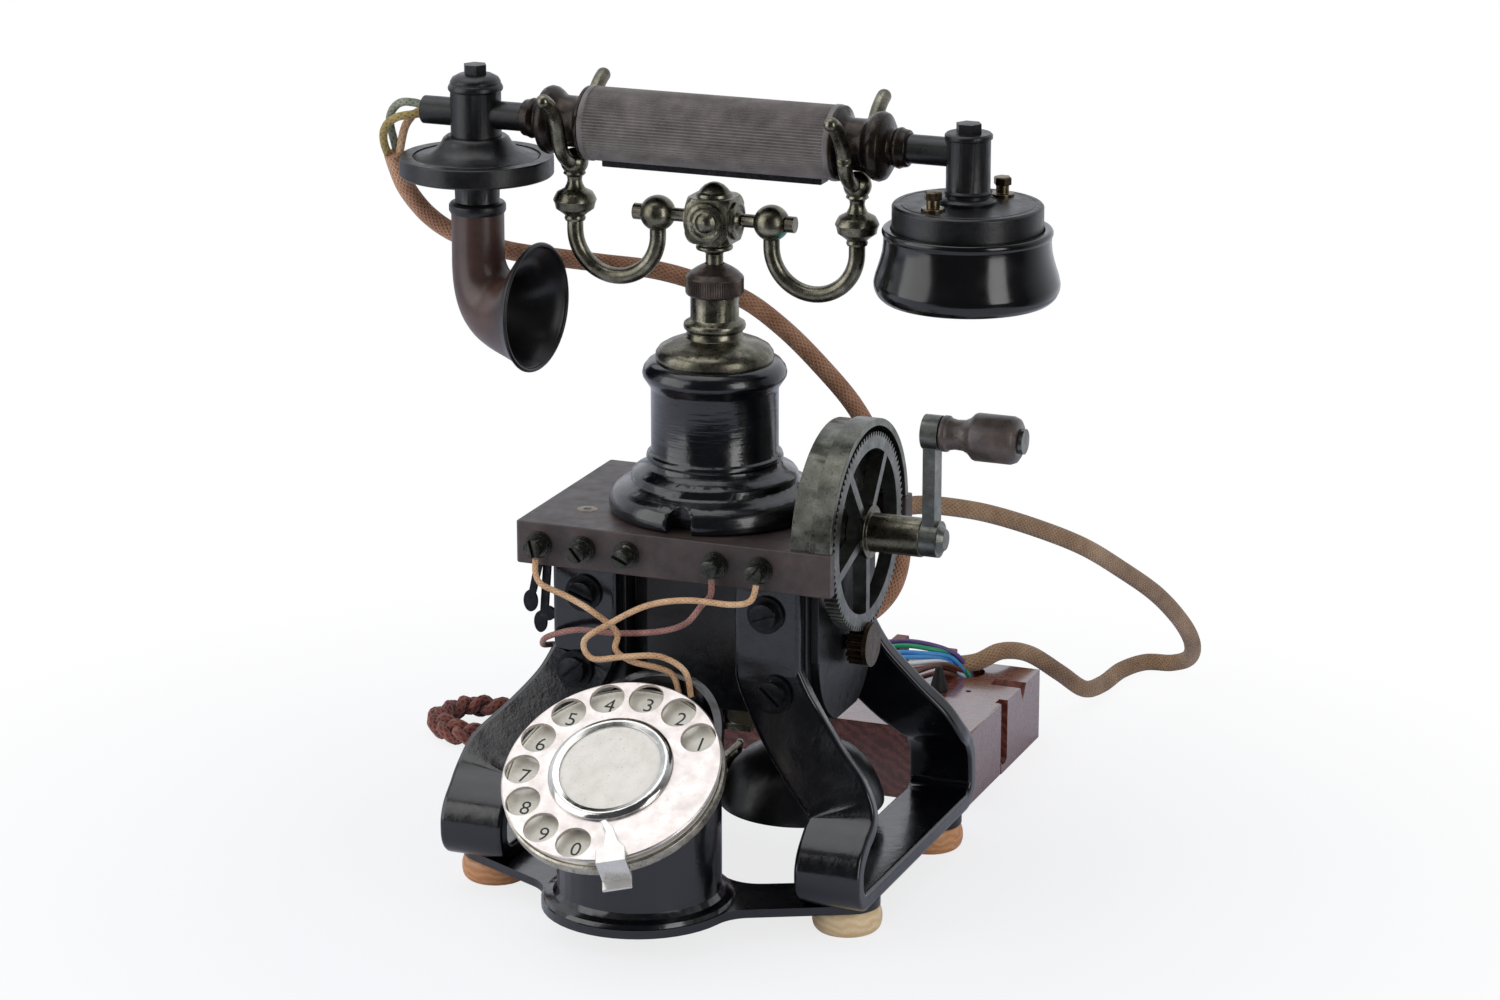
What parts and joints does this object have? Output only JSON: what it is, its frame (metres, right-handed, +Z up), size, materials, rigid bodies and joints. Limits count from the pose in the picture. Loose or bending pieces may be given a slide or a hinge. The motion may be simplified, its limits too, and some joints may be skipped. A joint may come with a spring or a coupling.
{
  "type": "skeleton telephone",
  "caption": "Open-frame table telephone on magnet legs, with dial, generator crank, bells, sprung cradle and tube handset.",
  "frame": {"origin": "middle of the base on the table, under the middle of the telephone's own outline", "axes": "+X to the crank and the earpiece, -Y to the user and the dial, +Z up"},
  "size_m": [0.2766, 0.3845, 0.2789],
  "materials": {
    "wood": "waxed, worn",
    "boxwood": "plain boxwood",
    "enamel": "gloss black enamel",
    "iron": "blackened",
    "screw": "blackened, dull",
    "tin": "tinned",
    "winding": "cotton-covered wire",
    "ebonite": "faded ebonite",
    "ebonite_black": "polished ebonite",
    "brass": "dark bronze patina",
    "nickel": "worn nickel",
    "aluminium": "satin",
    "card": "ivory card",
    "plate": "white enamel",
    "cord": "braided cotton",
    "plait": "plaited cotton",
    "mahogany": "varnished"
  },
  "bodies": {
    "stand": {"foot_front_left": "wood", "foot_front_right": "boxwood", "feet_rear": "wood", "foot_spacers": "enamel", "dial_stand": "enamel", "magnet_left": "enamel", "magnet_right": "enamel", "magnet_screws": "screw", "pole_front": "iron", "pole_rear": "iron", "cheeks": "iron", "board": "ebonite", "terminals": "screw", "cord_glands": "ebonite", "column": "enamel", "column_cap": "brass", "knurled_nut": "screw", "hook_spring": "screw", "contact_springs": "screw", "gear_guard": "brass", "ringer_bridge": "iron", "ringer_coils": "winding", "gong_left": "iron", "gong_right": "iron", "dial_case": "nickel", "number_plate": "plate", "finger_stop": "nickel", "handset_cord": "cord", "line_cord": "cord", "plait_cord": "plait", "dial_leads": "cord", "connection_block": "mahogany"},
    "handset": {"handset_grip": "ebonite", "ferrules": "ebonite", "handset_tube": "enamel", "tee_mouth": "enamel", "transmitter_case": "enamel", "horn": "ebonite", "tee_ear": "enamel", "receiver_case": "enamel", "ear_cap": "ebonite_black", "diaphragms": "tin", "handset_cord_top": "cord"},
    "talk_bar": {"talk_bar": "enamel"},
    "cradle": {"cradle_plunger": "brass", "cradle_block": "brass", "cradle_balls": "brass", "cradle_arms": "brass", "cradle_forks": "brass"},
    "crank": {"crank_gear": "screw", "crank_hub": "brass", "crank_arm": "brass"},
    "handle": {"crank_handle": "ebonite"},
    "armature": {"armature": "iron", "armature_winding": "winding", "pinion": "screw"},
    "dial": {"finger_wheel": "aluminium", "dial_bezel": "nickel", "dial_card": "card"},
    "clapper": {"clapper": "brass"}
  },
  "joints": [
    {"name": "handset_lift", "type": "slide", "parent": "stand", "child": "handset", "axis": [0, 0, 1], "range_m": [0, 0.06]},
    {"name": "cradle_rise", "type": "slide", "parent": "stand", "child": "cradle", "axis": [0, 0, 1], "range_m": [0, 0.006]},
    {"name": "talk_bar_press", "type": "slide", "parent": "handset", "child": "talk_bar", "axis": [0, 0, 1], "range_m": [0, 0.0015], "stiffness_N_per_m": 300, "springref_m": -0.001},
    {"name": "crank_turn", "type": "hinge", "parent": "stand", "child": "crank", "pos_m": [0.0567, 0.03214, 0.1275], "axis": [1, 0, 0], "continuous": true},
    {"name": "handle_spin", "type": "hinge", "parent": "crank", "child": "handle", "pos_m": [0.0867, 0.03214, 0.165], "axis": [1, 0, 0], "continuous": true},
    {"name": "armature_spin", "type": "hinge", "parent": "stand", "child": "armature", "pos_m": [-0.0033, 0.03214, 0.087], "axis": [1, 0, 0], "continuous": true},
    {"name": "dial_turn", "type": "hinge", "parent": "stand", "child": "dial", "pos_m": [-0.0053, -0.05586, 0.063], "axis": [0, 0.549, -0.8358], "range_deg": [0, 330], "stiffness_Nm_per_rad": 0.01, "springref_deg": -34.38},
    {"name": "clapper_swing", "type": "hinge", "parent": "stand", "child": "clapper", "pos_m": [-0.0033, 0.03714, 0.0494], "axis": [0, 1, 0], "range_deg": [-4.5, 4.5]}
  ],
  "couplings": [
    {"joint": "armature_spin", "follows": "crank_turn", "ratio": -5},
    {"joint": "cradle_rise", "follows": "handset_lift", "ratio": 0.1}
  ]
}
